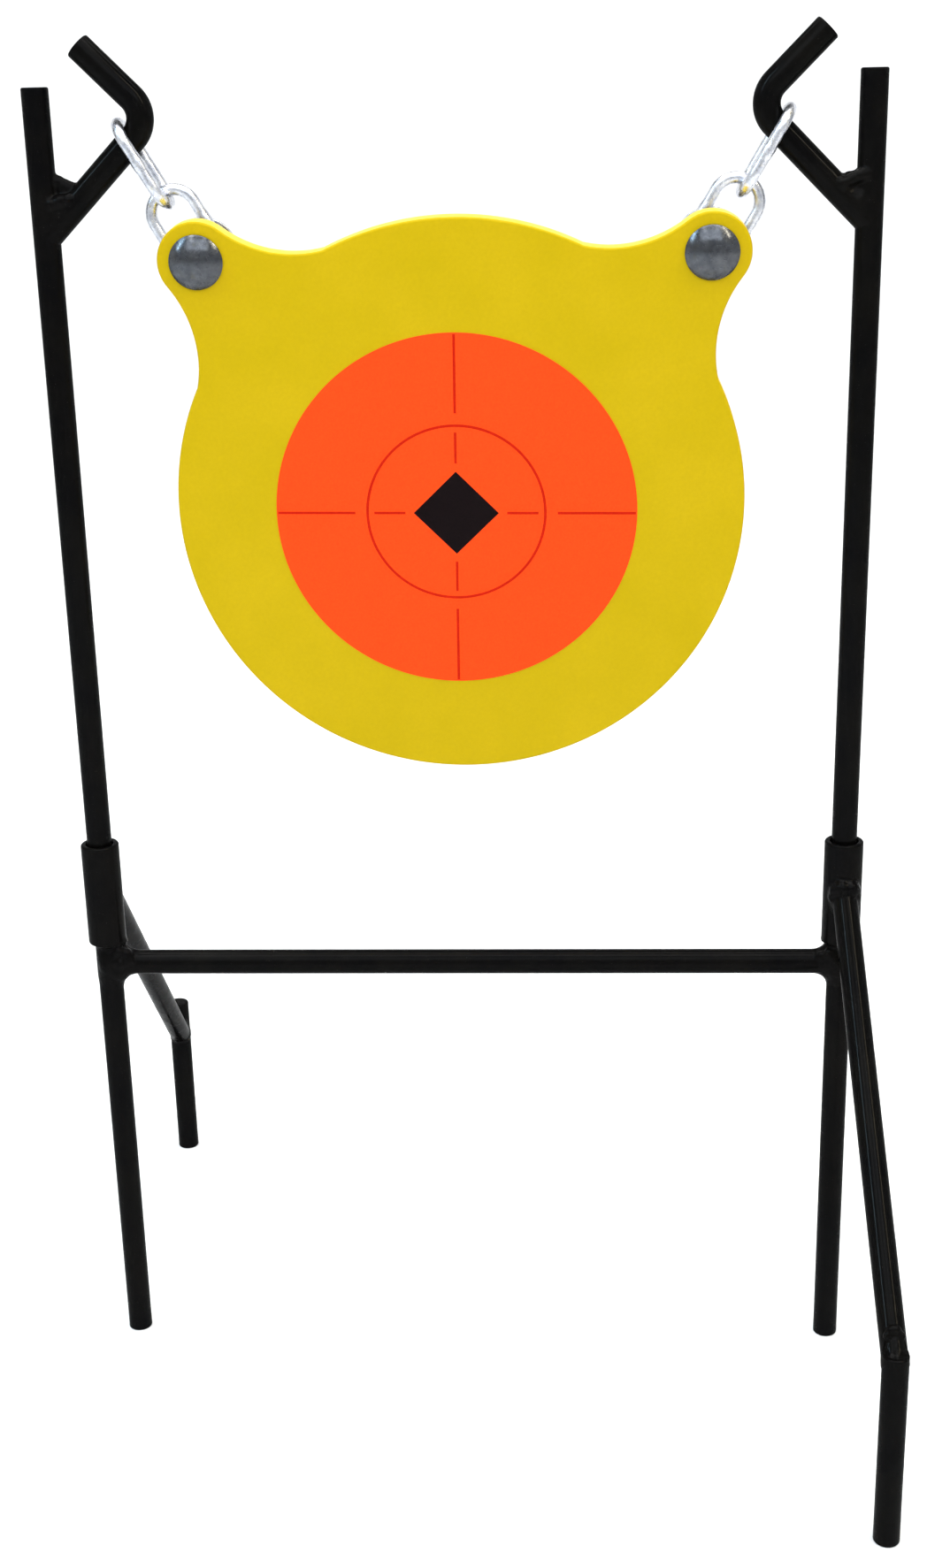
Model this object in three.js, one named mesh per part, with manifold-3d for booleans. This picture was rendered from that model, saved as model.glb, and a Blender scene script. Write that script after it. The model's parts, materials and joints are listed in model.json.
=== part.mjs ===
// A hanging steel gong target on a push-in stake stand, as a standalone three.js assembly.
//
// Millimetres, +Z up. The origin is on the ground at the middle of the footprint, +X runs along the
// crossbar and the target faces -Y. The stand is a welded base with two lift-out uprights. Its two ends
// are the same half turned through 180 degrees, so one brace and stake go to the rear on the left and
// the other go to the front on the right. Each upright carries a bent hook arm, two chain links hang
// from each hook, and the plate hangs on the links by a carriage bolt through each of its two ears.

import * as THREE from 'three';
import { mergeVertices } from 'three/addons/utils/BufferGeometryUtils.js';
import Module from 'manifold-3d';

const wasm = await Module();
wasm.setup();

// ---------------------------------------------------------------- driving dimensions

const GAP = 0.3;                  // left between pieces that touch or are welded
const BAR = { radius: 5.55, chamfer: 0.8, sides: 24 };     // 7/16 in round bar, used throughout
const SPAN = 334;                 // between the two uprights' centre lines

const CROSSBAR_HEIGHT = 195;
const LEG_TOP = 213;              // the leg is welded a short way up inside the socket
const SOCKET = { bottom: 205.5, length: 48, outer: 8.55, bore: 6.25, chamfer: 0.9 };
const BRACE_ROOT = 235;           // height where a brace's centre line meets the socket's axis
const STAKE = { outset: 8, height: 90 };
const REAR_REACH = 180;           // from the left socket back to the rear stake
const FRONT_REACH = 150;          // from the right socket out to the front stake
const BRACE_FOOT = { rear: 70, front: 85 };                // height where a brace meets its stake

const UPRIGHT_TOP = 577.4;
const HOOK = { root: 518.5, corner: 46.5, bend: 11, tip: 39.5, sides: 18, bendSteps: 8 };

const LINK = { wire: 2.4, innerWidth: 14.3, sides: 10, steps: 34 };
const LINK_SLIP = 3;              // how far down the arm, from the middle of the notch, a link hangs
const CONTACT = 0.35;             // left where a link bears on a bar, a link or a bolt

const PLATE = { radius: 119.5, thickness: 9.5, ear: 16, neck: 50, step: 6 };
const EAR_DISTANCE = 146.7;       // from the disc's centre to a bolt, at 45 degrees
const NECK_ANGLE = 26;            // from the ears' nearest axis, where an ear's neck leaves the disc
const GONG_TILT = 5.55;           // degrees: the plate's weight settles under its bolts' pivot
const BOLT_HEIGHT = 510.5;        // height of the line that the plate swings on
const PIVOT_SETBACK = 9.5;        // from the plate's mid-plane back to the links' plane
const SQUARE_HOLE = 10.1;

const STICKER = { radius: 76.2, thickness: 0.4, sides: 64, x: -1.5, z: -2.5 };
const BOLT = { shank: 4.75, length: 38.1, point: 1 };
const BOLT_HEAD = { radius: 11, dome: 4.5, rim: 0.7, domeSteps: 6 };
const BOLT_NECK = { width: 9.5, length: 5.65 };            // the square under the head
const WASHER = { outer: 14.5, bore: 5.2, thickness: 2, setback: 15.6 };
const NUT = { acrossFlats: 14.3, bore: 5.05, height: 8.3, bevelHeight: 1, bevelWidth: 2 };

// ---------------------------------------------------------------- worked-out places

const HALF_SPAN = SPAN / 2;
const EAR = EAR_DISTANCE / Math.SQRT2;
const LINK_BEND = (LINK.innerWidth + 2 * LINK.wire) / 2;
const BEYOND = 2 * SPAN;          // past every piece, for the far sides of a clipping box

// ---------------------------------------------------------------- colours

const blackCoat = new THREE.MeshStandardMaterial({ color: 0x101011, roughness: 0.38, metalness: 0.1 });
const brightZinc = new THREE.MeshStandardMaterial({ color: 0xc9ccd0, roughness: 0.28, metalness: 0.95 });
const yellowCoat = new THREE.MeshStandardMaterial({ color: 0xd8bc18, roughness: 0.45, metalness: 0.0 });
const orangePaper = new THREE.MeshStandardMaterial({ color: 0xff501a, roughness: 0.6, metalness: 0.0 });

// ---------------------------------------------------------------- geometry helpers

function toSolid(geometry) {
  const bare = geometry.clone();
  bare.deleteAttribute('normal');
  bare.deleteAttribute('uv');
  const merged = mergeVertices(bare, 1e-4);
  return new wasm.Manifold(new wasm.Mesh({
    numProp: 3,
    vertProperties: new Float32Array(merged.attributes.position.array),
    triVerts: new Uint32Array(merged.index.array),
  }));
}

function toGeometry(solid) {
  const mesh = solid.getMesh();
  const geometry = new THREE.BufferGeometry();
  geometry.setAttribute('position', new THREE.BufferAttribute(mesh.vertProperties, 3));
  geometry.setIndex(new THREE.BufferAttribute(mesh.triVerts, 1));
  geometry.computeVertexNormals();
  return geometry;
}

function clipToBox(geometry, low, high) {
  const size = new THREE.Vector3().subVectors(high, low);
  const middle = new THREE.Vector3().addVectors(low, high).multiplyScalar(0.5);
  const box = new THREE.BoxGeometry(size.x, size.y, size.z).translate(middle.x, middle.y, middle.z);
  return toGeometry(toSolid(geometry).intersect(toSolid(box)));
}

// A turned piece with its axis on Z, from a profile of [radius, height] pairs
function turned(profile, sides) {
  const points = profile.map(([radius, height]) => new THREE.Vector2(radius, height));
  return new THREE.LatheGeometry(points, sides).rotateX(Math.PI / 2);
}

// A round bar standing on Z = 0, with both ends chamfered
function bar(length) {
  const { radius, chamfer, sides } = BAR;
  return turned([
    [0, 0], [radius - chamfer, 0], [radius, chamfer],
    [radius, length - chamfer], [radius - chamfer, length], [0, length],
  ], sides);
}

function barBetween(start, end) {
  const along = new THREE.Vector3().subVectors(end, start);
  const turn = new THREE.Quaternion().setFromUnitVectors(
    new THREE.Vector3(0, 0, 1), along.clone().normalize());
  return bar(along.length()).applyQuaternion(turn).translate(start.x, start.y, start.z);
}

// A path whose parameter runs evenly from each point to the next, so a bend keeps its own steps
class PointPath extends THREE.Curve {
  constructor(points) {
    super();
    this.points = points;
  }

  getPoint(t, target = new THREE.Vector3()) {
    const last = this.points.length - 1;
    const index = Math.min(Math.floor(t * last), last - 1);
    return target.lerpVectors(this.points[index], this.points[index + 1], t * last - index);
  }

  getPointAt(u, target) {
    return this.getPoint(u, target);
  }

  getTangentAt(u, target) {
    return this.getTangent(u, target);
  }
}

// The middle line of a chain link in the XZ plane: two straight legs and two half-circle ends
class LinkPath extends THREE.Curve {
  constructor(pitch) {
    super();
    this.straight = pitch - 2 * LINK_BEND;
  }

  getPoint(t, target = new THREE.Vector3()) {
    const arc = Math.PI * LINK_BEND;
    const half = this.straight + arc;
    const turn = t % 1 < 0.5 ? 1 : -1;
    const travelled = ((2 * t) % 1) * half;
    let x = LINK_BEND;
    let z = travelled - this.straight / 2;
    if (travelled > this.straight) {
      const angle = (travelled - this.straight) / LINK_BEND;
      x = LINK_BEND * Math.cos(angle);
      z = this.straight / 2 + LINK_BEND * Math.sin(angle);
    }
    return target.set(turn * x, 0, turn * z);
  }
}

function place(parent, name, geometry, material, position = [0, 0, 0], rotation = [0, 0, 0]) {
  const mesh = new THREE.Mesh(geometry, material);
  mesh.name = name;
  mesh.position.set(...position);
  mesh.rotation.set(...rotation);
  parent.add(mesh);
}

// ---------------------------------------------------------------- the welded base

// A brace's round bar, cut square against the socket at its top and against the stake at its foot
function braceGeometry(reach, footHeight) {
  const top = new THREE.Vector3(0, 0, BRACE_ROOT);
  const foot = new THREE.Vector3(-STAKE.outset, reach, footHeight);
  const nearSocket = SOCKET.outer + GAP;
  const nearStake = reach - BAR.radius - GAP;
  const low = new THREE.Vector3(-BEYOND, nearSocket, 0);
  const high = new THREE.Vector3(BEYOND, nearStake, BEYOND);
  return clipToBox(barBetween(top, foot), low, high);
}

function socketGeometry() {
  const { outer, bore, length, chamfer } = SOCKET;
  return turned([
    [bore, 0], [outer - chamfer, 0], [outer, chamfer],
    [outer, length - chamfer], [outer - chamfer, length], [bore, length], [bore, 0],
  ], BAR.sides);
}

function addBaseEnd(end, names, reach, footHeight) {
  place(end, names.leg, bar(LEG_TOP), blackCoat);
  place(end, names.socket, socketGeometry(), blackCoat, [0, 0, SOCKET.bottom]);
  place(end, names.brace, braceGeometry(reach, footHeight), blackCoat);
  place(end, names.stake, bar(STAKE.height), blackCoat, [-STAKE.outset, reach, 0]);
}

function addCrossbar(parent) {
  const reach = HALF_SPAN - BAR.radius - GAP;
  place(parent, 'crossbar', bar(2 * reach), blackCoat, [-reach, 0, CROSSBAR_HEIGHT], [0, Math.PI / 2, 0]);
}

// ---------------------------------------------------------------- the uprights and their hooks

// The hook arm's middle line: up and inward at 45 degrees, round the bend, then back up and outward
function hookPath() {
  const inward = new THREE.Vector3(1, 0, 1).normalize();
  const outward = new THREE.Vector3(-1, 0, 1).normalize();
  const root = new THREE.Vector3(0, 0, HOOK.root);
  const corner = new THREE.Vector3(HOOK.corner, 0, HOOK.root + HOOK.corner);
  const centre = corner.clone().addScaledVector(outward, HOOK.bend).addScaledVector(inward, -HOOK.bend);
  const points = [root];
  for (let step = 0; step <= HOOK.bendSteps; step += 1) {
    const angle = (step / HOOK.bendSteps) * Math.PI / 2;
    points.push(centre.clone()
      .addScaledVector(outward, -HOOK.bend * Math.cos(angle))
      .addScaledVector(inward, HOOK.bend * Math.sin(angle)));
  }
  points.push(corner.clone().addScaledVector(outward, HOOK.tip));
  return points;
}

function hookGeometry() {
  const points = hookPath();
  const section = new THREE.Shape().absarc(0, 0, BAR.radius, 0, 2 * Math.PI);
  const arm = new THREE.ExtrudeGeometry(section, {
    steps: points.length - 1,
    curveSegments: HOOK.sides / 2,
    extrudePath: new PointPath(points),
  });
  const low = new THREE.Vector3(BAR.radius + GAP, -BEYOND, 0);
  const high = new THREE.Vector3(BEYOND, BEYOND, BEYOND);
  return clipToBox(arm, low, high);
}

function addUpright(end, names) {
  const foot = LEG_TOP + GAP;
  place(end, names.upright, bar(UPRIGHT_TOP - foot), blackCoat, [0, 0, foot]);
  place(end, names.hook, hookGeometry(), blackCoat);
}

// ---------------------------------------------------------------- the chains

// Where a chain runs, in one end's own frame: X from the upright's axis inward, Z up
function chainLayout() {
  const offset = BAR.radius + LINK.wire + CONTACT;
  const crown = new THREE.Vector3(HOOK.corner - offset * Math.SQRT2, 0, HOOK.root + HOOK.corner)
    .addScaledVector(new THREE.Vector3(1, 0, 1), -LINK_SLIP / Math.SQRT2);
  const bolt = new THREE.Vector3(HALF_SPAN - EAR, 0, BOLT_HEIGHT);
  const down = new THREE.Vector3().subVectors(bolt, crown);
  const fall = down.length();
  down.normalize();
  const belowBolt = BOLT.shank + CONTACT + LINK.wire;
  const linkOverlap = 2 * LINK.wire + CONTACT;
  const pitch = (fall + belowBolt + linkOverlap) / 2;
  return {
    pitch,
    lean: Math.atan2(-down.x, -down.z),
    upper: crown.clone().addScaledVector(down, pitch / 2),
    lower: bolt.clone().addScaledVector(down, belowBolt - pitch / 2),
  };
}

function linkGeometry(pitch) {
  return new THREE.TubeGeometry(new LinkPath(pitch), LINK.steps, LINK.wire, LINK.sides, true);
}

function addChain(end, names) {
  const { pitch, lean, upper, lower } = chainLayout();
  const edgeOn = linkGeometry(pitch).rotateZ(Math.PI / 2);
  place(end, names.upperLink, edgeOn, brightZinc, upper.toArray(), [0, lean, 0]);
  place(end, names.lowerLink, linkGeometry(pitch), brightZinc, lower.toArray(), [0, lean, 0]);
}

// ---------------------------------------------------------------- the plate and its fasteners

function arcPoints(centre, radius, from, to) {
  const count = Math.max(3, Math.ceil(Math.abs(to - from) * radius / PLATE.step));
  const points = [];
  for (let step = 0; step < count; step += 1) {
    const angle = from + (to - from) * (step / count);
    points.push(new THREE.Vector2(
      centre.x + radius * Math.cos(angle), centre.y + radius * Math.sin(angle)));
  }
  return points;
}

// One ear with its two hollow necks, on the diagonal of the plate's upper right quarter
function earPoints() {
  const ear = new THREE.Vector2(EAR, EAR);
  const neckAngle = THREE.MathUtils.degToRad(NECK_ANGLE);
  const leave = new THREE.Vector2(Math.cos(neckAngle), Math.sin(neckAngle)).multiplyScalar(PLATE.radius);
  const along = new THREE.Vector2().subVectors(ear, leave);
  const distance = along.length();
  along.divideScalar(distance);
  const toEar = PLATE.neck + PLATE.ear;
  const forward = (PLATE.neck ** 2 - toEar ** 2 + distance ** 2) / (2 * distance);
  const aside = Math.sqrt(PLATE.neck ** 2 - forward ** 2);
  const hollow = new THREE.Vector2(
    leave.x + along.x * forward + along.y * aside, leave.y + along.y * forward - along.x * aside);
  const hollowStart = Math.atan2(leave.y - hollow.y, leave.x - hollow.x) + 2 * Math.PI;
  const hollowEnd = Math.atan2(ear.y - hollow.y, ear.x - hollow.x);
  const earStart = hollowEnd - Math.PI;
  const firstHalf = [
    ...arcPoints(hollow, PLATE.neck, hollowStart, hollowEnd),
    ...arcPoints(ear, PLATE.ear, earStart, Math.PI / 4),
  ];
  const secondHalf = firstHalf.map((point) => new THREE.Vector2(point.y, point.x)).reverse();
  return [...firstHalf, new THREE.Vector2(1, 1).setLength(EAR_DISTANCE + PLATE.ear), ...secondHalf];
}

function plateOutline() {
  const neckAngle = THREE.MathUtils.degToRad(NECK_ANGLE);
  const rightEar = earPoints();
  const leftEar = rightEar.map((point) => new THREE.Vector2(-point.x, point.y)).reverse();
  const centre = new THREE.Vector2(0, 0);
  const top = arcPoints(centre, PLATE.radius, Math.PI / 2 - neckAngle, Math.PI / 2 + neckAngle);
  const bottom = arcPoints(centre, PLATE.radius, Math.PI - neckAngle, 2 * Math.PI + neckAngle);
  return [...rightEar, ...top.slice(1), ...leftEar, ...bottom.slice(1)];
}

function plateGeometry() {
  const { thickness } = PLATE;
  const blank = new THREE.ExtrudeGeometry(new THREE.Shape(plateOutline()), {
    depth: thickness,
    bevelEnabled: false,
  });
  let plate = toSolid(blank.translate(0, 0, -thickness / 2).rotateX(Math.PI / 2));
  for (const side of [-1, 1]) {
    const punch = new THREE.BoxGeometry(SQUARE_HOLE, 2 * thickness, SQUARE_HOLE);
    plate = plate.subtract(toSolid(punch.translate(side * EAR, 0, EAR)));
  }
  return toGeometry(plate);
}

function stickerGeometry() {
  const { radius, thickness, sides } = STICKER;
  return new THREE.CylinderGeometry(radius, radius, thickness, sides);
}

// A carriage bolt pointing along +Z from the underside of its domed head
function boltGeometry() {
  const { shank, length, point } = BOLT;
  const { radius, dome, rim, domeSteps } = BOLT_HEAD;
  const sphere = (radius ** 2 + dome ** 2) / (2 * dome);
  const widest = Math.asin(radius / sphere);
  const profile = [];
  for (let step = 0; step <= domeSteps; step += 1) {
    const angle = (step / domeSteps) * widest;
    profile.push([sphere * Math.sin(angle), sphere * (1 - Math.cos(angle)) - dome - rim]);
  }
  profile.push([radius, 0], [shank, 0], [shank, length - point], [shank - point, length], [0, length]);
  const sunk = rim / 2;           // the square starts inside the head, so that the two join
  const square = new THREE.BoxGeometry(BOLT_NECK.width, BOLT_NECK.width, BOLT_NECK.length + sunk)
    .translate(0, 0, (BOLT_NECK.length - sunk) / 2);
  return toGeometry(toSolid(turned(profile, BAR.sides)).add(toSolid(square)));
}

function washerGeometry() {
  const { outer, bore, thickness } = WASHER;
  return turned([
    [bore, 0], [outer, 0], [outer, thickness], [bore, thickness], [bore, 0],
  ], BAR.sides);
}

// A hexagon nut with its corners turned off at both ends, bored through
function nutGeometry() {
  const { acrossFlats, bore, height, bevelHeight, bevelWidth } = NUT;
  const corner = acrossFlats / Math.sqrt(3);
  const rim = acrossFlats / 2;
  const hexagon = new THREE.CylinderGeometry(corner, corner, height, 6)
    .rotateX(Math.PI / 2).translate(0, 0, height / 2);
  const blank = turned([
    [bore, 0], [rim, 0], [rim + bevelWidth, bevelHeight],
    [rim + bevelWidth, height - bevelHeight], [rim, height], [bore, height], [bore, 0],
  ], BAR.sides);
  return toGeometry(toSolid(hexagon).intersect(toSolid(blank)));
}

// The hanging plate: its frame has the disc's centre at the origin and its mid-plane on Y = 0
function addGong(parent) {
  const swing = new THREE.Group();
  swing.position.z = BOLT_HEIGHT;
  swing.rotation.x = THREE.MathUtils.degToRad(GONG_TILT);
  parent.add(swing);
  const gong = new THREE.Group();
  gong.position.set(0, -PIVOT_SETBACK, -EAR);
  swing.add(gong);

  const front = -PLATE.thickness / 2 - GAP;
  place(gong, 'gong_plate', plateGeometry(), yellowCoat);
  place(gong, 'target_sticker', stickerGeometry(), orangePaper,
    [STICKER.x, front - STICKER.thickness / 2, STICKER.z]);
  const backward = [-Math.PI / 2, 0, 0];
  for (const [name, side] of [['left', -1], ['right', 1]]) {
    const x = side * EAR;
    const nutFront = WASHER.setback + WASHER.thickness + GAP;
    place(gong, `${name}_carriage_bolt`, boltGeometry(), brightZinc, [x, front, EAR], backward);
    place(gong, `${name}_washer`, washerGeometry(), brightZinc, [x, WASHER.setback, EAR], backward);
    place(gong, `${name}_nut`, nutGeometry(), brightZinc, [x, nutFront, EAR], backward);
  }
}

// ---------------------------------------------------------------- the whole object

function addEnd(parent, side) {
  const isLeft = side === 'left';
  const depth = isLeft ? 'rear' : 'front';
  const end = new THREE.Group();
  end.position.x = isLeft ? -HALF_SPAN : HALF_SPAN;
  end.rotation.z = isLeft ? 0 : Math.PI;
  parent.add(end);
  addBaseEnd(end, {
    leg: `${side}_leg`, socket: `${side}_socket`, brace: `${depth}_brace`, stake: `${depth}_stake`,
  }, isLeft ? REAR_REACH : FRONT_REACH, BRACE_FOOT[depth]);
  addUpright(end, { upright: `${side}_upright`, hook: `${side}_hook_arm` });
  addChain(end, { upperLink: `${side}_upper_link`, lowerLink: `${side}_lower_link` });
}

const group = new THREE.Group();
const stand = new THREE.Group();
stand.position.y = (FRONT_REACH - REAR_REACH) / 2;   // so that the footprint's middle is the origin
group.add(stand);
addCrossbar(stand);
addEnd(stand, 'left');
addEnd(stand, 'right');
addGong(stand);

export default group;
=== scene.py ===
"""The looks of a hanging steel gong target on a push-in stake stand, for Blender 4.5.

Lengths are named in millimetres and turned into metres as meshes are made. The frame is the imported
model's: +Z up, +X along the crossbar, and the target faces -Y. Each piece stands for one CAD node and
rides on that node's body. Weld beads, the sticker's print and the bolts' threads are added here.
"""

import json
import math

import bmesh
import bpy
import numpy as np
from mathutils import Matrix, Vector


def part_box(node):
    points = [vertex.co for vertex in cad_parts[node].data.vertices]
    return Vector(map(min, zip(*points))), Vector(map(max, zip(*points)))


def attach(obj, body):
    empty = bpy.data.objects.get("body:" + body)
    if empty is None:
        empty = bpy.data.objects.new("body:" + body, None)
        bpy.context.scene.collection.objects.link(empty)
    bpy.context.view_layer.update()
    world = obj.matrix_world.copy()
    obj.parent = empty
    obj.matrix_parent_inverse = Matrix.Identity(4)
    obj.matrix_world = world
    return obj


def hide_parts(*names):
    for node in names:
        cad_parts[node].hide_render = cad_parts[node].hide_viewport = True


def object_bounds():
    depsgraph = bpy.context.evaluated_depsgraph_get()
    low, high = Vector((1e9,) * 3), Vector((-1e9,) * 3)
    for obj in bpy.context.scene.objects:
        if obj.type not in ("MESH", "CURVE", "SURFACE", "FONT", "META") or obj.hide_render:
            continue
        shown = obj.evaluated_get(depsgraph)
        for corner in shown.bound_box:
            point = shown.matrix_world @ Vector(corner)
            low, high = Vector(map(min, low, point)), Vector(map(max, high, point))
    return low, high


MM = 0.001

# ---------------------------------------------------------------- dimensions, in millimetres

BAR = {"radius": 5.55, "edge": 0.8, "sides": 64}
SOCKET = {"outer": 8.55, "bore": 6.25, "rim": 1.0, "lip": 0.5}
BRACE_ROOT = 235.0
BRACE_FOOT = {"rear": 70.0, "front": 85.0}

HOOK_ROOT = 518.5
HOOK = {"corner": 46.5, "bend": 11.0, "tip": 39.5, "bend_steps": 24}

LINK = {"wire": 2.4, "inner_width": 14.3, "contact": 0.35, "sides": 24, "steps": 120}
LINK_WELD = {"bulge": 0.28, "reach": 2.6}

PLATE = {"radius": 119.5, "thickness": 9.5, "ear": 16.0, "neck": 50.0, "edge": 0.9, "step": 1.5}
EAR_DISTANCE = 146.7
NECK_ANGLE = math.radians(26)
GONG_TILT = math.radians(5.55)
PIVOT_SETBACK = 9.5
SQUARE_HOLE = 10.1

STICKER = {"radius": 76.2, "thickness": 0.22, "x": -1.5, "z": -2.5, "turn": math.radians(0.8)}
PRINT = {"thickness": 0.03, "lift": 0.03, "ring": 38.1, "line": 1.05}
PRINT_OUTER_LINE = (42.8, 75.6)
PRINT_INNER_LINE = (21.5, 34.7)
PRINT_DIAMOND = 25.4

BOLT = {"shank": 4.75, "length": 38.1, "head": 11.0, "dome": 4.5, "rim": 0.7}
BOLT_NECK = {"width": 9.5, "length": 5.65, "corner": 0.5}
THREAD = {"start": 14.0, "pitch": 1.5875, "depth": 0.75, "rows": 8}
WASHER = {"outer": 14.5, "bore": 5.2, "thickness": 2.0, "setback": 15.6, "edge": 0.35}
NUT = {"across_flats": 14.3, "bore": 5.05, "height": 8.3, "bevel": 0.9}
NUT_ROLL = {"left": math.radians(17), "right": math.radians(41)}
HEAD_LIFT = 0.02                   # of a bolt's head off the plate's face
GAP = 0.3

# bead radii round a brace's top, one for each of BRACE_TURNS
BRACE_BEADS = (1.3, 1.5, 1.6, 2.0, 3.3, 3.5, 2.1, 1.4)
BRACE_TURNS = (-135, -110, -85, -60, -28, 22, 58, 88)
# x inward, y, z from the crossbar's end, and the radius
CROSSBAR_LUMPS = {
    "left": (
        (2.5, -5.2, 5.0, 1.9), (5.6, -5.0, 7.0, 2.2), (9.2, -3.8, 5.6, 2.1),
        (6.4, -5.8, 2.0, 2.2), (10.4, -4.7, 2.4, 1.8),
    ),
    "right": ((5.4, -4.9, 6.0, 1.8), (9.0, -4.1, 4.4, 1.6)),
}
# width of the fillet, and the radius of its beads
CROSSBAR_WELD = {"left": (9.0, 2.2), "right": (7.5, 1.7)}
HOOK_WELD_BLEND = {"left": 6.0, "right": 4.5}
# x inward, y, z from the crook above the arm, and the radius
HOOK_BEADS = {
    "left": (
        (0.9, 0.0, 9.2, 2.4), (3.6, 0.0, 7.9, 2.2), (6.2, 0.0, 6.9, 1.9), (3.2, 0.0, 5.4, 2.8),
        (-1.4, -4.4, 0.3, 1.9), (1.9, -4.0, 1.6, 2.3), (5.4, -4.0, 2.0, 2.1),
        (-1.0, 4.4, 1.2, 2.0), (2.4, 4.0, 1.8, 2.2), (5.8, 4.1, 3.4, 1.9),
    ),
    "right": (
        (0.6, 0.0, 5.0, 1.9), (3.4, 0.0, 4.4, 2.0),
        (-2.6, -4.3, 5.6, 2.0), (-0.2, -3.9, 4.8, 2.2), (2.4, -3.7, 3.6, 2.1), (5.6, -4.2, 2.2, 2.2),
        (-2.0, 4.4, 4.6, 2.0), (1.2, 3.9, 3.6, 2.3), (4.6, 4.1, 2.6, 2.0),
    ),
}
FOOT_TURNS = (-36, -12, 14, 38)
FOOT_BEADS = (1.1, 1.5, 1.3, 1.0)
FOOT_INSET = 0.3                   # the weld's own bars are this much slimmer, to stay under the beads
UPRIGHT_TOP = 577.0
BAR_RUN = 60.0                     # of a bar in a weld's field, which is past the weld's reach
BRACE_WELD_BLEND = 3.0
LET_IN = 0.3                       # how far a shaped end goes into the bar it meets
SKIN = {"hidden": 0.05, "ripple": 0.12, "least": 0.03, "bead_blend": 2.0}    # of a weld, under the bars

EAR = EAR_DISTANCE / math.sqrt(2)
LINK_BEND = LINK["inner_width"] / 2 + LINK["wire"]

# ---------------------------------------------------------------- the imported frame

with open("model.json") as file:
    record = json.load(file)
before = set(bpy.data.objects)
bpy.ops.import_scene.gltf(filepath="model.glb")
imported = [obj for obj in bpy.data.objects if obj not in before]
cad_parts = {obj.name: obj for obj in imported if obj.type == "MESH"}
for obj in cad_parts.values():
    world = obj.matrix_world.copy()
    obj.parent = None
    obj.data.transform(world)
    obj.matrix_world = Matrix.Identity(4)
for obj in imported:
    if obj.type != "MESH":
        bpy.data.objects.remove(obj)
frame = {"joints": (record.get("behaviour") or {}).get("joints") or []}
cad_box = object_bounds()
JOINTS = {joint["name"]: Vector(joint["pos_m"]) / MM for joint in frame["joints"] if "pos_m" in joint}


def box_of(node):
    """A CAD node's lowest and highest corners, in millimetres"""
    low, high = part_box(node)
    return low / MM, high / MM


def middle_of(node):
    low, high = box_of(node)
    return (low + high) / 2


def below(node):
    """The middle of the foot of a standing bar"""
    low, high = box_of(node)
    return Vector(((low.x + high.x) / 2, (low.y + high.y) / 2, low.z))


# ---------------------------------------------------------------- mesh helpers


def make_mesh(name, points, faces):
    mesh = bpy.data.meshes.new(name)
    mesh.from_pydata([Vector(point) * MM for point in points], [], faces)
    work = bmesh.new()
    work.from_mesh(mesh)
    bmesh.ops.recalc_face_normals(work, faces=work.faces)
    work.to_mesh(mesh)
    work.free()
    return mesh


def add_piece(name, mesh, body, materials, nodes=(), crease=35):
    """An object on a CAD body, standing for CAD nodes, smooth except over edges sharper than crease"""
    for material in materials:
        mesh.materials.append(material)
    mesh.shade_smooth()
    mesh.set_sharp_from_angle(angle=math.radians(crease))
    piece = bpy.data.objects.new(name, mesh)
    bpy.context.scene.collection.objects.link(piece)
    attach(piece, body)
    if nodes:
        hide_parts(*nodes)
    return piece


def skin(name, rings, looped=False):
    """A mesh over rings of points, closed by a cap at each end or by joining the last ring to the first"""
    count = len(rings[0])
    points = [point for ring in rings for point in ring]
    faces = []
    for row in range(len(rings) if looped else len(rings) - 1):
        here = row * count
        there = (row + 1) % len(rings) * count
        for side in range(count):
            after = (side + 1) % count
            faces.append((here + side, here + after, there + after, there + side))
    if not looped:
        last = (len(rings) - 1) * count
        faces.append(tuple(reversed(range(count))))
        faces.append(tuple(range(last, last + count)))
    return make_mesh(name, points, faces)


def ring(place, radius, height, sides):
    """Points round the Z axis of a placing matrix. The radius is a number or a function of the angle"""
    points = []
    for side in range(sides):
        angle = 2 * math.pi * side / sides
        reach = radius(angle) if callable(radius) else radius
        points.append(place @ Vector((reach * math.cos(angle), reach * math.sin(angle), height)))
    return points


def turned(name, place, profile, sides, looped=False):
    """A turned piece from a profile of (radius, height) pairs"""
    return skin(name, [ring(place, radius, height, sides) for radius, height in profile], looped)


def quarter_round(edge, steps=5):
    """(inset, rise) pairs from a flat face round to the wall beside it"""
    turns = [math.pi / 2 * step / steps for step in range(steps + 1)]
    return [(edge * (1 - math.sin(turn)), edge * (1 - math.cos(turn))) for turn in turns]


def bar_profile(length):
    """(radius, height) pairs up a bar with rounded edges. The first and last keep the end faces flat"""
    radius, edge = BAR["radius"], BAR["edge"]
    foot = [(radius - 2 * edge, 0)]
    foot += [(radius - inset, rise) for inset, rise in quarter_round(edge)]
    return foot + [(reach, length - height) for reach, height in reversed(foot)]


def crossing(point, along, axis, radius, sign):
    """Where a line meets an upright cylinder, or comes nearest to it, on the side that sign says"""
    offset = (point - axis).to_2d()
    heading = along.to_2d()
    a = heading.dot(heading)
    b = offset.dot(heading)
    c = offset.dot(offset) - radius**2
    return point + along * ((-b + sign * math.sqrt(max(0, b * b - a * c))) / a)


def section(centre, along, across, radius, sides):
    """Points round a bar's section. Across is a unit direction square to the bar"""
    other = along.cross(across)
    turns = [2 * math.pi * side / sides for side in range(sides)]
    return [centre + (across * math.cos(turn) + other * math.sin(turn)) * radius for turn in turns]


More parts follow.
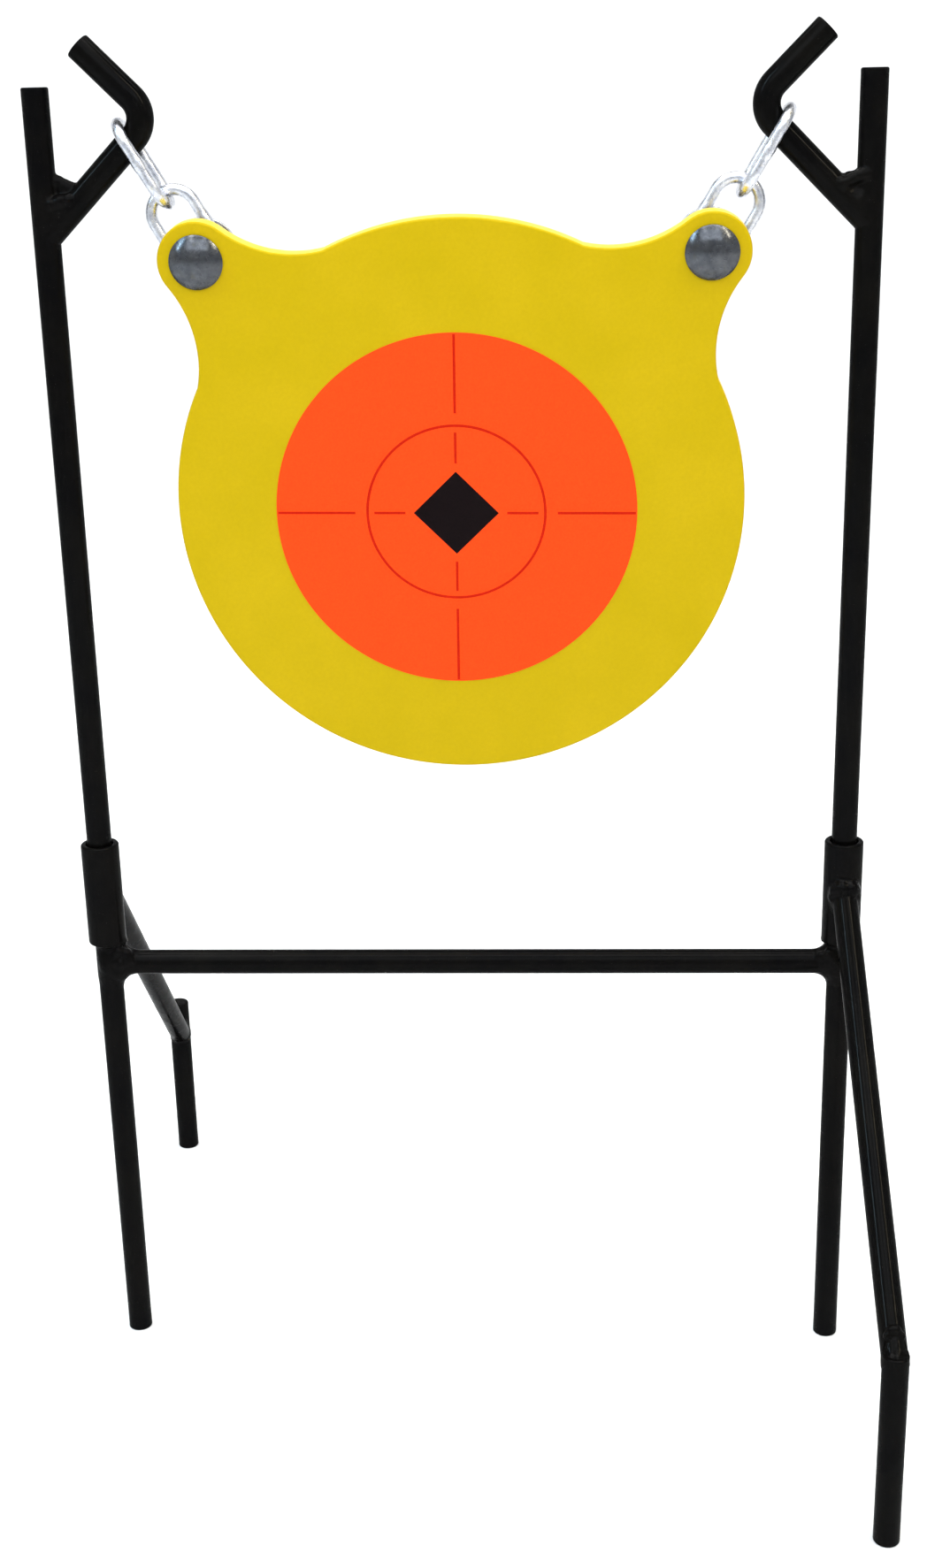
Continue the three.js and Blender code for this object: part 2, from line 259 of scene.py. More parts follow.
def outline_rings(outline, profile):
    """Copies of a flat outline, moved into the material and along Y by each (inset, y) of a profile"""
    count = len(outline)
    corners = []
    for index in range(count):
        before = (outline[index] - outline[index - 1]).normalized()
        after = (outline[(index + 1) % count] - outline[index]).normalized()
        inward = Vector((-before.y - after.y, before.x + after.x)).normalized()
        corners.append(inward / max(0.3, inward.dot(Vector((-before.y, before.x)))))
    rings = []
    for inset, y in profile:
        moved = [point + corner * inset for point, corner in zip(outline, corners)]
        rings.append([Vector((point.x, y, point.y)) for point in moved])
    return rings


def flat_solid(name, place, outlines, profile, wall=None):
    """A flat piece with holes. The faces after profile[wall] get the second material"""
    work = bmesh.new()
    caps = ([], [])
    for outline in outlines:
        rows = []
        for points in outline_rings(outline, profile):
            rows.append([work.verts.new(place @ point * MM) for point in points])
        for index, (near, far) in enumerate(zip(rows, rows[1:])):
            for side in range(len(near)):
                face = work.faces.new((near[side - 1], near[side], far[side], far[side - 1]))
                face.material_index = 1 if index == wall else 0
        for cap, row in zip(caps, (rows[0], rows[-1])):
            cap.extend(work.edges.get((row[side - 1], row[side])) for side in range(len(row)))
    for cap in caps:
        bmesh.ops.triangle_fill(work, use_beauty=True, edges=cap)
    bmesh.ops.recalc_face_normals(work, faces=work.faces)
    mesh = bpy.data.meshes.new(name)
    work.to_mesh(mesh)
    work.free()
    return mesh


def plain_profile(thickness):
    return [(0, -thickness / 2), (0, thickness / 2)]


def rounded_profile(thickness, edge):
    """From the front face round to the back, with a flat strip inside each rounded edge"""
    front = [(1.6 * edge, -thickness / 2)]
    front += [(inset, rise - thickness / 2) for inset, rise in quarter_round(edge)]
    return front + [(inset, -y) for inset, y in reversed(front)]


# ---------------------------------------------------------------- weld beads, as the surface of a field


def axis_distance(grid, start, along, radius, low, high):
    """Distance outside a bar with flat ends at low and high along its axis"""
    offset = grid - np.array(start)
    travel = offset @ np.array(along)
    radial = np.linalg.norm(offset - travel[..., None] * np.array(along), axis=-1) - radius
    beyond = np.maximum(low - travel, travel - high)
    outside = np.hypot(np.maximum(radial, 0), np.maximum(beyond, 0))
    return outside + np.minimum(np.maximum(radial, beyond), 0)


def smooth_join(first, second, blend):
    """The union of two fields, with a fillet about as wide as blend"""
    near = np.maximum(blend - np.abs(first - second), 0) / blend
    return np.minimum(first, second) - near * near * blend / 4


def surface_net(field, low, step):
    """The points and faces of a field's zero level, one point in each cell that it passes through"""
    cells = np.array(field.shape) - 1
    total = np.zeros((*cells, 3))
    crossings = np.zeros(cells)
    for corner in np.ndindex(2, 2, 2):
        for axis in range(3):
            if corner[axis]:
                continue
            far = np.array(corner)
            far[axis] = 1
            a = field[tuple(slice(c, c + n) for c, n in zip(corner, cells))]
            b = field[tuple(slice(c, c + n) for c, n in zip(far, cells))]
            crossed = (a < 0) != (b < 0)
            part = np.where(crossed, a / np.where(crossed, a - b, 1), 0)
            for way in range(3):
                total[..., way] += crossed * corner[way] + (part if way == axis else 0)
            crossings += crossed
    used = crossings > 0
    number = np.full(cells, -1)
    number[used] = np.arange(used.sum())
    points = np.array(low) + step * (np.argwhere(used) + total[used] / crossings[used][:, None])
    inside = field < 0
    faces = []
    for axis in range(3):
        u, v = (axis + 1) % 3, (axis + 2) % 3
        change = np.diff(inside.astype(int), axis=axis) != 0
        for place in np.argwhere(change):
            if place[u] < 1 or place[v] < 1 or place[u] >= cells[u] or place[v] >= cells[v]:
                continue
            back_u, back_v = np.eye(3, dtype=int)[u], np.eye(3, dtype=int)[v]
            corners = (place, place - back_u, place - back_u - back_v, place - back_v)
            faces.append(tuple(int(number[tuple(corner)]) for corner in corners))
    return points, faces


def weld_mesh(name, centre, reach, bars, beads, step=0.45):
    """The skin of bars that run together under beads of weld, hidden in the bars away from the joint

    Bars are (start, along, radius, low, high, blend), and beads are (point, radius)."""
    low = np.array(centre) - reach - step
    count = int(2 * reach / step) + 3
    line = np.arange(count) * step
    grid = low + np.stack(np.meshgrid(line, line, line, indexing="ij"), axis=-1)
    field = axis_distance(grid, *bars[0][:5])
    for start, along, radius, bottom, top, blend in bars[1:]:
        width = blend(grid) if callable(blend) else blend
        field = smooth_join(field, axis_distance(grid, start, along, radius, bottom, top), width)
    for point, radius in beads:
        bead = np.linalg.norm(grid - np.array(point), axis=-1) - radius
        field = smooth_join(field, bead, SKIN["bead_blend"])
    box_low, box_high = (np.array(corner) / MM for corner in cad_box)
    field = np.maximum(field, np.maximum(box_low - grid, grid - box_high).max(axis=-1))
    ripple = np.sin(grid[..., 0] * 1.7) * np.sin(grid[..., 1] * 1.9 + 1) * np.sin(grid[..., 2] * 1.5 + 2)
    swell = np.maximum(SKIN["hidden"] + SKIN["ripple"] * ripple, SKIN["least"])
    sphere = np.linalg.norm(grid - np.array(centre), axis=-1) - reach
    points, faces = surface_net(np.maximum(field + swell, sphere), low, step)
    mesh = make_mesh(name, [Vector(point) for point in points], faces)
    work = bmesh.new()
    work.from_mesh(mesh)
    bmesh.ops.smooth_vert(
        work, verts=work.verts, factor=0.5, use_axis_x=True, use_axis_y=True, use_axis_z=True
    )
    work.to_mesh(mesh)
    work.free()
    return mesh


# ---------------------------------------------------------------- materials


def new_material(name, colour, roughness, metallic=0.0, specular=0.5):
    material = bpy.data.materials.new(name)
    material.use_nodes = True
    material.diffuse_color = (*colour, 1)
    shader = material.node_tree.nodes["Principled BSDF"]
    shader.inputs["Base Color"].default_value = (*colour, 1)
    shader.inputs["Roughness"].default_value = roughness
    shader.inputs["Metallic"].default_value = metallic
    shader.inputs["Specular IOR Level"].default_value = specular
    return material


class Surface:
    """Adds procedural detail to one material, in the piece's own coordinates"""

    def __init__(self, material):
        self.tree = material.node_tree
        self.shader = self.tree.nodes["Principled BSDF"]
        self.place = self.tree.nodes.new("ShaderNodeTexCoord").outputs["Object"]
        self.normal = None

    def link(self, start, end):
        self.tree.links.new(start, end)

    def stretched(self, scale):
        mapping = self.tree.nodes.new("ShaderNodeMapping")
        mapping.inputs["Scale"].default_value = scale
        self.link(self.place, mapping.inputs["Vector"])
        return mapping.outputs["Vector"]

    def noise(self, grain, detail=3.0, harshness=0.55, stretch=None):
        """Noise whose features are about grain millimetres across"""
        node = self.tree.nodes.new("ShaderNodeTexNoise")
        node.inputs["Scale"].default_value = 1 / (grain * MM)
        node.inputs["Detail"].default_value = detail
        node.inputs["Roughness"].default_value = harshness
        self.link(self.stretched(stretch) if stretch else self.place, node.inputs["Vector"])
        return node.outputs["Fac"]

    def spread(self, value, low, high, start=0.3, end=0.7):
        """Maps start to end of a value onto low to high"""
        node = self.tree.nodes.new("ShaderNodeMapRange")
        node.inputs["From Min"].default_value = start
        node.inputs["From Max"].default_value = end
        node.inputs["To Min"].default_value = low
        node.inputs["To Max"].default_value = high
        self.link(value, node.inputs["Value"])
        return node.outputs["Result"]

    def mix(self, amount, first, second):
        """Blends two colours, each a triple or an output of another node"""
        node = self.tree.nodes.new("ShaderNodeMix")
        node.data_type = "RGBA"
        self.link(amount, node.inputs["Factor"])
        for name, colour in (("A", first), ("B", second)):
            socket = next(s for s in node.inputs if s.name == name and s.type == "RGBA")
            if isinstance(colour, tuple):
                socket.default_value = (*colour, 1)
            else:
                self.link(colour, socket)
        return next(s for s in node.outputs if s.type == "RGBA")

    def colour(self, output):
        self.link(output, self.shader.inputs["Base Color"])

    def roughness(self, output):
        self.link(output, self.shader.inputs["Roughness"])

    def bump(self, height, depth, strength=1.0):
        """Relief of depth millimetres, on top of any relief added before"""
        node = self.tree.nodes.new("ShaderNodeBump")
        node.inputs["Strength"].default_value = strength
        node.inputs["Distance"].default_value = depth * MM
        self.link(height, node.inputs["Height"])
        if self.normal:
            self.link(self.normal, node.inputs["Normal"])
        self.normal = node.outputs["Normal"]
        self.link(self.normal, self.shader.inputs["Normal"])
        self.link(self.normal, self.shader.inputs["Coat Normal"])


def black_coat(name="black_powder_coat", relief=1.0, gloss=0.055):
    """Semi-gloss powder coat: deep black, faintly dusty, with an orange-peel skin"""
    material = new_material(name, (0.0024, 0.0024, 0.0026), 0.30, specular=0.005)
    shader = material.node_tree.nodes["Principled BSDF"]
    shader.inputs["Coat Weight"].default_value = gloss
    shader.inputs["Coat Roughness"].default_value = 0.11
    surface = Surface(material)
    cool, warm = (0.0016, 0.0016, 0.0019), (0.0036, 0.0033, 0.0028)
    shade = surface.mix(surface.spread(surface.noise(22), 0, 1), cool, warm)
    dust = surface.spread(surface.noise(0.7, detail=1.0), 0, 0.5, 0.72, 0.80)
    surface.colour(surface.mix(dust, shade, (0.030, 0.028, 0.025)))
    surface.roughness(surface.spread(surface.noise(9, detail=4.0), 0.22, 0.36))
    surface.bump(surface.noise(1.3, detail=1.0), 0.05 * relief, 0.5)
    surface.bump(surface.noise(0.35, detail=2.0), 0.012 * relief, 0.5)
    return material


def bright_zinc(name, light, dark, straw, roughness, relief):
    """Bright zinc plate: cool, slightly cloudy, with small straw-coloured tarnish patches"""
    material = new_material(name, light, roughness, metallic=1.0)
    surface = Surface(material)
    cloud = surface.mix(surface.spread(surface.noise(3.0), 0, 1), light, dark)
    tarnish = surface.spread(surface.noise(4.5, detail=2.0), 0, 0.35, 0.60, 0.74)
    surface.colour(surface.mix(tarnish, cloud, straw))
    surface.roughness(surface.spread(surface.noise(1.6, detail=4.0), roughness - 0.08, roughness + 0.12))
    surface.bump(surface.noise(1.1, detail=3.0), 0.06 * relief, 0.6)
    surface.bump(surface.noise(0.25, detail=2.0), 0.015 * relief, 0.5)
    return material


def yellow_coat():
    """Satin yellow coat on the plate's two faces"""
    material = new_material("yellow_coat", (0.495, 0.345, 0.002), 0.42, specular=0.07)
    surface = Surface(material)
    broad = surface.mix(surface.spread(surface.noise(30), 0, 1), (0.480, 0.338, 0.001), (0.518, 0.358, 0.003))
    fine = surface.spread(surface.noise(1.4, detail=3.0), 0, 0.28)
    surface.colour(surface.mix(fine, broad, (0.405, 0.287, 0.001)))
    surface.roughness(surface.spread(surface.noise(6, detail=4.0), 0.36, 0.50))
    surface.bump(surface.noise(1.6, detail=1.0), 0.06, 0.45)
    surface.bump(surface.noise(0.4, detail=2.0), 0.015, 0.5)
    return material


def yellow_edge_painted_bright():
    """The same coat over the plate's cut edge, coloured brighter than the faces as a painted highlight, where
    fine lines run through the thickness
    """
    # the base colour is the face coat made brighter: painted highlight standing in for light falling on the
    # edge
    material = new_material("yellow_coat_edge_painted_bright", (0.80, 0.56, 0.010), 0.40, specular=0.3)
    surface = Surface(material)
    lines = surface.noise(0.8, detail=3.0, stretch=(1, 0.08, 1))
    surface.colour(surface.mix(surface.spread(lines, 0, 1), (0.84, 0.60, 0.012), (0.76, 0.52, 0.008)))
    surface.roughness(surface.spread(surface.noise(4, detail=3.0), 0.34, 0.48))
    surface.bump(lines, 0.10, 0.6)
    surface.bump(surface.noise(0.5, detail=2.0), 0.02, 0.5)
    return material


def paper(name, light, dark, roughness):
    """Printed self-adhesive paper, with a faint fibre and a little unevenness in the ink"""
    material = new_material(name, light, roughness, specular=0.04)
    surface = Surface(material)
    ink = surface.spread(surface.noise(1.0, detail=4.0, harshness=0.7), 0, 1)
    surface.colour(surface.mix(ink, light, dark))
    surface.roughness(surface.spread(surface.noise(5, detail=4.0), roughness - 0.06, roughness + 0.06))
    surface.bump(surface.noise(0.5, detail=4.0, harshness=0.7), 0.02, 0.4)
    surface.bump(surface.noise(18, detail=1.0), 0.12, 0.35)
    return material


def pale_floor():
    material = new_material("pale_floor", (0.86, 0.86, 0.86), 0.7, specular=0.2)
    surface = Surface(material)
    surface.colour(surface.mix(surface.noise(400), (0.85, 0.85, 0.855), (0.88, 0.88, 0.875)))
    return material


BLACK = black_coat()
WELD_BLACK = black_coat("black_powder_coat_on_weld", relief=2.2, gloss=0.06)
CHAIN_ZINC = bright_zinc(
    "chain_zinc", (0.74, 0.75, 0.78), (0.46, 0.48, 0.55), (0.68, 0.60, 0.28), 0.27, 0.45
)
BOLT_ZINC = bright_zinc(
    "bolt_zinc", (0.100, 0.105, 0.115), (0.062, 0.066, 0.075), (0.09, 0.085, 0.06), 0.20, 0.4
)
NUT_ZINC = bright_zinc(
    "nut_and_washer_zinc", (0.62, 0.63, 0.66), (0.40, 0.42, 0.47), (0.55, 0.50, 0.28), 0.28, 0.5
)
YELLOW = yellow_coat()
# the edge coat is painted brighter than the faces, as a painted highlight
YELLOW_EDGE_PAINTED_BRIGHT = yellow_edge_painted_bright()
ORANGE_PAPER = paper("orange_paper", (0.92, 0.068, 0.009), (0.88, 0.052, 0.007), 0.52)
RED_INK = paper("red_ink", (0.55, 0.014, 0.003), (0.45, 0.010, 0.002), 0.50)
BLACK_INK = paper("black_ink", (0.007, 0.0035, 0.004), (0.004, 0.002, 0.0025), 0.45)


# ---------------------------------------------------------------- the two ends of the stand


class End:
    """One end of the stand. Its own X runs inward from the upright, and its brace runs to one side"""

    def __init__(self, side):
        self.side = side
        self.depth = "rear" if side == "left" else "front"
        self.inward = Vector((1, 0, 0)) if side == "left" else Vector((-1, 0, 0))
        self.outreach = Vector((0, 1, 0)) if side == "left" else Vector((0, -1, 0))
        self.axis = below(f"{side}_leg")
        self.stake = below(f"{self.depth}_stake")

    def at(self, x, z):
        """A point in the plane of the uprights, x millimetres inward from this one"""
        return self.axis + self.inward * x + Vector((0, 0, z))


ENDS = [End("left"), End("right")]
UP = Vector((0, 0, 1))


def add_bar(node, body, place, length):
    mesh = turned(f"{node}_bar", place, bar_profile(length), BAR["sides"])
    add_piece(f"{node}_bar", mesh, body, [BLACK], [node])


def add_standing_bar(node, body):
    low, high = box_of(node)
    add_bar(node, body, Matrix.Translation(below(node)), high.z - low.z)


def add_shaped_bar(node, start, end, across, start_radius):
    """A bar from one upright piece to another, each end shaped to fit and let a little way in"""
    along = (end - start).normalized()
    points = section(start, along, across, BAR["radius"], BAR["sides"])
    first = [crossing(point, along, start, start_radius - LET_IN, 1) for point in points]
    last = [crossing(point, along, end, BAR["radius"] - LET_IN, -1) for point in points]
    add_piece(f"{node}_bar", skin(f"{node}_bar", [first, last]), "base", [BLACK], [node])


def add_crossbar():
    height = middle_of("crossbar").z
    start, end = (side.at(0, height) for side in ENDS)
    add_shaped_bar("crossbar", start, end, Vector((0, 1, 0)), BAR["radius"])


def brace_ends(end):
    top = end.at(0, BRACE_ROOT)
    foot = end.stake + UP * BRACE_FOOT[end.depth]
    return top, foot


def add_brace(end):
    top, foot = brace_ends(end)
    across = (foot - top).cross(UP).normalized()
    add_shaped_bar(f"{end.depth}_brace", top, foot, across, SOCKET["outer"])


def add_socket(end):
    """A length of pipe. Its profile runs up the outside, over the rim and down the bore"""
    node = f"{end.side}_socket"
    low, high = box_of(node)
    length = high.z - low.z
    outer, bore = SOCKET["outer"], SOCKET["bore"]
    outside = [(outer - inset, rise) for inset, rise in quarter_round(SOCKET["rim"])]
    inside = [(bore + inset, rise) for inset, rise in quarter_round(SOCKET["lip"])]
    profile = outside + [(radius, length - rise) for radius, rise in reversed(outside)]
    profile += [(radius, length - rise) for radius, rise in inside]
    profile += [(radius, rise) for radius, rise in reversed(inside)]
    mesh = turned(f"{node}_pipe", Matrix.Translation(below(node)), profile, BAR["sides"], looped=True)
    add_piece(f"{node}_pipe", mesh, "base", [BLACK], [node])


def hook_rings(end):
    """Sections along a hook arm: shaped to the upright, up and inward, round the bend, out to the tip"""
    radius = BAR["radius"]
    rising = (end.inward + UP).normalized()
    returning = (UP - end.inward).normalized()
    across = Vector((0, 1, 0))
    root = end.at(0, HOOK_ROOT)
    corner = end.at(HOOK["corner"], HOOK_ROOT + HOOK["corner"])
    centre = corner + (returning - rising) * HOOK["bend"]
    start = section(root, rising, across, radius, BAR["sides"])
    rings = [[crossing(point, rising, end.axis, radius - LET_IN, 1) for point in start]]
    for step in range(HOOK["bend_steps"] + 1):
        turn = math.pi / 2 * step / HOOK["bend_steps"]
        along = rising * math.cos(turn) + returning * math.sin(turn)
        place = centre + (rising * math.sin(turn) - returning * math.cos(turn)) * HOOK["bend"]
        rings.append(section(place, along, across, radius, BAR["sides"]))
    tip = corner + returning * HOOK["tip"]
    for inset, rise in reversed(quarter_round(BAR["edge"])):
        rings.append(section(tip - returning * rise, returning, across, radius - inset, BAR["sides"]))
    rings.append(section(tip, returning, across, radius - 2 * BAR["edge"], BAR["sides"]))
    return rings


def add_hook_arm(end):
    node = f"{end.side}_hook_arm"
    mesh = skin(f"{node}_bar", hook_rings(end))
    add_piece(f"{node}_bar", mesh, f"{end.side}_post", [BLACK], [node])


# ---------------------------------------------------------------- welds


def joint_points(start, along, across, radius, axis, reach, turns):
    """Points on the line where a bar meets an upright one, at turns round the bar from across"""
    other = along.cross(across)
    points = []
    for turn in turns:
        edge = start + (across * math.cos(turn) + other * math.sin(turn)) * radius
        points.append(crossing(edge, along, axis, reach, 1))
    return points


def add_weld(name, body, centre, reach, bars, beads):
    mesh = weld_mesh(name, centre, reach, bars, beads)
    add_piece(name, mesh, body, [WELD_BLACK], crease=80)


def standing(axis, radius, low, high, blend=None):
    return (axis, UP, radius, low, high, blend)


def add_crossbar_weld(end):
    """A full bead round the crossbar's end, which also catches the foot of the socket"""
    radius = BAR["radius"]
    height = middle_of("crossbar").z
    socket_low, socket_high = box_of(f"{end.side}_socket")
    start = end.at(0, height)
    across = end.inward.cross(UP)
    turns = [math.radians(degrees) for degrees in range(0, 360, 24)]
    points = joint_points(start, end.inward, across, radius, end.axis, radius, turns)
    blend, bead = CROSSBAR_WELD[end.side]
    beads = [(point, bead + 0.4 * math.sin(2.3 * index + 1)) for index, point in enumerate(points)]
    for x, y, z, lump in CROSSBAR_LUMPS[end.side]:
        beads.append((start + end.inward * x + Vector((0, y, z)), lump))
    bars = [
        standing(end.axis, radius, 0, socket_high.z),
        standing(end.axis, SOCKET["outer"], socket_low.z, socket_high.z, 3.2),
        (start, end.inward, radius, 0, BAR_RUN, blend),
    ]
    add_weld(f"{end.side}_crossbar_weld", "base", end.at(5, height), 17, bars, beads)


def add_hook_weld(end):
    """Weld metal laid only in the crook above the hook arm"""
    radius = BAR["radius"]
    blend = HOOK_WELD_BLEND[end.side]
    rising = (end.inward + UP).normalized()
    root = end.at(0, HOOK_ROOT)
    crook = end.at(radius, HOOK_ROOT + radius + radius * math.sqrt(2))
    beads = []
    for x, y, z, bead in HOOK_BEADS[end.side]:
        beads.append((crook + end.inward * x + Vector((0, y, z)), bead))

    def width(grid):
        height = grid[..., 2] - (HOOK_ROOT + 3)
        return 0.8 + (blend - 0.8) * np.clip(height / 6, 0, 1)

    bars = [
        standing(end.axis, radius, 0, UPRIGHT_TOP),
        (root, rising, radius, 0, BAR_RUN, width),
    ]
    add_weld(f"{end.side}_hook_weld", f"{end.side}_post", crook, 15, bars, beads)


def add_brace_welds(end):
    """Lumps over the top of the brace at the socket, and a bead in the crook at the stake"""
    radius = BAR["radius"]
    top, foot = brace_ends(end)
    along = (foot - top).normalized()
    sideways = along.cross(UP).normalized()
    upper = sideways.cross(along)
    socket_low, socket_high = box_of(f"{end.side}_socket")
    turns = [math.radians(degrees) for degrees in BRACE_TURNS]
    points = joint_points(top, along, upper, radius, end.axis, SOCKET["outer"], turns)
    beads = list(zip(points, BRACE_BEADS))
    bars = [
        standing(end.axis, SOCKET["outer"], socket_low.z, socket_high.z),
        (top, along, radius, 0, BAR_RUN, BRACE_WELD_BLEND),
    ]
    add_weld(f"{end.depth}_brace_top_weld", "base", points[4], 17, bars, beads)

    turns = [math.radians(degrees) for degrees in FOOT_TURNS]
    points = joint_points(foot, -along, upper, radius, end.stake, radius, turns)
    beads = list(zip(points, FOOT_BEADS))
    low, high = box_of(f"{end.depth}_stake")
    slim = radius - FOOT_INSET
    bars = [
        standing(end.stake, slim, low.z, high.z - 0.6),
        (foot, -along, slim, 0, BAR_RUN, BRACE_WELD_BLEND),
    ]
    add_weld(f"{end.depth}_brace_foot_weld", "base", foot, 16, bars, beads)


# ---------------------------------------------------------------- chains


def link_rings(centre, down, lateral, pitch, weld_side):
    """Sections round a closed link. The legs run along down, and lateral is square to them"""
    square = down.cross(lateral)
    straight = pitch - 2 * LINK_BEND
    arc = math.pi * LINK_BEND
    rings = []
    for step in range(LINK["steps"]):
        travelled = 2 * (straight + arc) * step / LINK["steps"]
        sign = 1 if travelled < straight + arc else -1
        travelled %= straight + arc
        x, z = LINK_BEND, travelled - straight / 2
        angle = 0.0
        radius = LINK["wire"]
        if travelled > straight:
            angle = (travelled - straight) / LINK_BEND
            x = LINK_BEND * math.cos(angle)
            z = straight / 2 + LINK_BEND * math.sin(angle)
        elif sign == weld_side:
            radius += LINK_WELD["bulge"] * math.exp(-((z / LINK_WELD["reach"]) ** 4))
        along = (down * math.cos(angle) - lateral * math.sin(angle)) * sign
        place = centre + (lateral * x + down * z) * sign
        rings.append(section(place, along, square, radius, LINK["sides"]))
    return rings


def add_chain(end):
    upper, lower = (middle_of(f"{end.side}_{name}_link") for name in ("upper", "lower"))
    down = (lower - upper).normalized()
    pitch = (lower - upper).length + 2 * LINK["wire"] + LINK["contact"]
    front = Vector((0, -1, 0))
    for name, centre, lateral in (("upper", upper, front), ("lower", lower, down.cross(front))):
        node = f"{end.side}_{name}_link"
        weld_side = 1 if name == "upper" else int(math.copysign(1, lateral.dot(end.inward)))
        rings = link_rings(centre, down, lateral, pitch, weld_side)
        mesh = skin(f"{node}_wire", rings, looped=True)
        add_piece(f"{node}_wire", mesh, f"{end.side}_{name}", [CHAIN_ZINC], [node])


# ---------------------------------------------------------------- the plate and its sticker

PIVOT = Vector((0, JOINTS["gong_swing"].y, JOINTS["gong_swing"].z))
GONG = (
    Matrix.Translation(PIVOT)
    @ Matrix.Rotation(GONG_TILT, 4, "X")
    @ Matrix.Translation((0, -PIVOT_SETBACK, -EAR))
)


def arc(centre, radius, start, end, step):
    """Points along an arc, without its last"""
    count = max(4, math.ceil(abs(end - start) * radius / step))
    turns = [start + (end - start) * index / count for index in range(count)]
    return [centre + Vector((math.cos(turn), math.sin(turn))) * radius for turn in turns]


def ear_points():
    """The upper right ear: a hollow neck up from the disc, round the ear, and the same neck mirrored"""
    radius, neck, ear, step = PLATE["radius"], PLATE["neck"], PLATE["ear"], PLATE["step"]
    middle = Vector((EAR, EAR))
    leave = Vector((math.cos(NECK_ANGLE), math.sin(NECK_ANGLE))) * radius
    along = middle - leave
    distance = along.length
    along.normalize()
    forward = (neck**2 - (neck + ear) ** 2 + distance**2) / (2 * distance)
    aside = math.sqrt(neck**2 - forward**2)
    hollow = leave + along * forward + Vector((along.y, -along.x)) * aside
    hollow_start = math.atan2(leave.y - hollow.y, leave.x - hollow.x) + 2 * math.pi
    hollow_end = math.atan2(middle.y - hollow.y, middle.x - hollow.x)
    first = arc(hollow, neck, hollow_start, hollow_end, step)
    first += arc(middle, ear, hollow_end - math.pi, math.pi / 4, step / 2)
    crown = Vector((1, 1)).normalized() * (EAR_DISTANCE + ear)
    return first + [crown] + [Vector((point.y, point.x)) for point in reversed(first)]


def plate_outline():
    centre = Vector((0, 0))
    radius, step = PLATE["radius"], PLATE["step"]
    right = ear_points()
    left = [Vector((-point.x, point.y)) for point in reversed(right)]
    top = arc(centre, radius, math.pi / 2 - NECK_ANGLE, math.pi / 2 + NECK_ANGLE, step)
    bottom = arc(centre, radius, math.pi - NECK_ANGLE, 2 * math.pi + NECK_ANGLE, step)
    return right + top[1:] + left + bottom[1:]


def square_hole(x, z):
    """A square hole with slightly rounded corners, drawn the way round that puts the metal outside it"""
    half, corner = SQUARE_HOLE / 2, 0.6
    points = []
    for quarter in range(4):
        start = math.pi / 2 * quarter
        turn = Vector((math.cos(start), math.sin(start)))
        centre = Vector((turn.x - turn.y, turn.x + turn.y)) * (half - corner)
        points += arc(Vector((x, z)) + centre, corner, start, start + math.pi / 2, 0.25)
        points.append(Vector((x, z)) + centre + Vector((-turn.y, turn.x)) * corner)
    return list(reversed(points))


def add_plate():
    outlines = [plate_outline(), square_hole(-EAR, EAR), square_hole(EAR, EAR)]
    profile = rounded_profile(PLATE["thickness"], PLATE["edge"])
    wall = len(profile) // 2 - 1
    mesh = flat_solid("gong_plate_steel", GONG, outlines, profile, wall)
    add_piece("gong_plate_steel", mesh, "gong", [YELLOW, YELLOW_EDGE_PAINTED_BRIGHT], ["gong_plate"])


def on_sticker(thickness, lift):
    """The placing of something flat on the sticker's middle, lift above the plate's front face"""
    front = -PLATE["thickness"] / 2 - lift - thickness / 2
    place = Matrix.Translation((STICKER["x"], front, STICKER["z"]))
    return GONG @ place @ Matrix.Rotation(STICKER["turn"], 4, "Y")


def circle(radius, step=1.2):
    return arc(Vector((0, 0)), radius, 0, 2 * math.pi, step)


def strip(turn, start, end, width):
    """A printed line running out from the middle"""
    corners = [(start, -width / 2), (end, -width / 2), (end, width / 2), (start, width / 2)]
    c, s = math.cos(turn), math.sin(turn)
    return [Vector((x * c - y * s, x * s + y * c)) for x, y in corners]


def add_print(name, outlines, material):
    place = on_sticker(PRINT["thickness"], STICKER["thickness"] + PRINT["lift"])
    mesh = flat_solid(name, place, outlines, plain_profile(PRINT["thickness"]))
    add_piece(name, mesh, "gong", [material])


def add_sticker():
    """The orange disc, with its printed cross lines, ring and square standing on a corner"""
    edge_profile = rounded_profile(STICKER["thickness"], 0.08)
    mesh = flat_solid("target_sticker_paper", on_sticker(STICKER["thickness"], 0.02),
                      [circle(STICKER["radius"])], edge_profile)
    add_piece("target_sticker_paper", mesh, "gong", [ORANGE_PAPER], ["target_sticker"])
    ring_inside = PRINT["ring"] - PRINT["line"]
    add_print("printed_ring", [circle(PRINT["ring"]), list(reversed(circle(ring_inside)))], RED_INK)
    lines = []
    for quarter in range(4):
        for start, end in (PRINT_OUTER_LINE, PRINT_INNER_LINE):
            lines.append(strip(math.pi / 2 * quarter, start, end, PRINT["line"]))
    add_print("printed_cross_lines", lines, RED_INK)
    point = PRINT_DIAMOND / math.sqrt(2)
    quarters = (0, math.pi / 2, math.pi, -math.pi / 2)
    diamond = [Vector((math.cos(turn), math.sin(turn))) * point for turn in quarters]
    add_print("printed_diamond", [diamond], BLACK_INK)


# ---------------------------------------------------------------- fasteners


def polygon(sides, apothem, corner):
    """The radius of a regular polygon at each angle, its corners turned off at a radius"""
    sector = 2 * math.pi / sides

    def radius(angle):
        return min(apothem / math.cos((angle % sector) - sector / 2), corner)

    return radius


